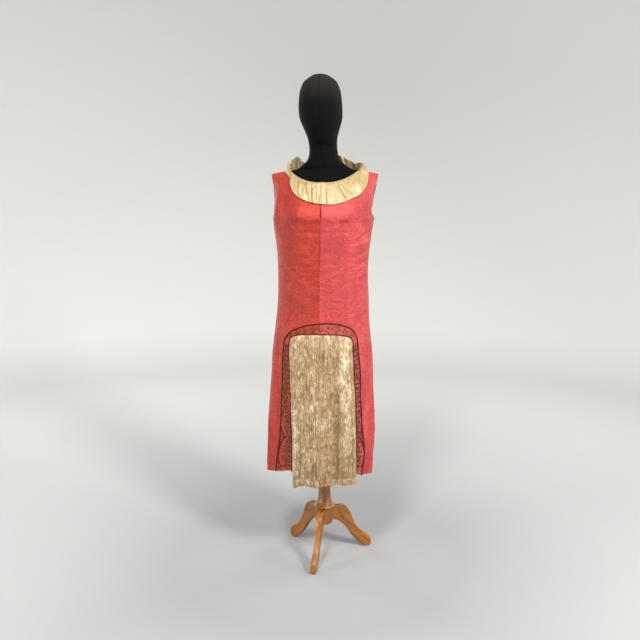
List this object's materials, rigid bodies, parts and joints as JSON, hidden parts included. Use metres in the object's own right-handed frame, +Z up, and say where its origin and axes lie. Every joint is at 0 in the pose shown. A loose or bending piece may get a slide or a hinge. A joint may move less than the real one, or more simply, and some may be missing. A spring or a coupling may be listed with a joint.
{
  "type": "evening dress on a limbless dress form with a tripod stand",
  "caption": "Sleeveless straight evening dress with a wide pleated collar and an arched pleated front panel, standing on a plain dress form and wooden tripod.",
  "frame": {"origin": "on the floor, in the middle of the area that the whole part covers", "axes": "+Z up, the front faces -Y, and +X is on the right of someone who looks at the front"},
  "size_m": [0.4113, 0.3282, 1.771],
  "materials": {
    "coral_silk": "satin",
    "gold_lame": "crinkled metallic cloth",
    "cream_lame": "soft metallic cloth",
    "black_jersey": "matte knit",
    "waxed_wood": "satin varnish"
  },
  "bodies": {
    "root": {"dress_front_right": "coral_silk", "dress_front_left": "coral_silk", "dress_back": "coral_silk", "lame_panel": "gold_lame", "collar": "cream_lame", "form_torso": "black_jersey", "form_head": "black_jersey", "stand_column": "waxed_wood", "leg_front": "waxed_wood", "leg_right": "waxed_wood", "leg_left": "waxed_wood"}
  },
  "joints": []
}
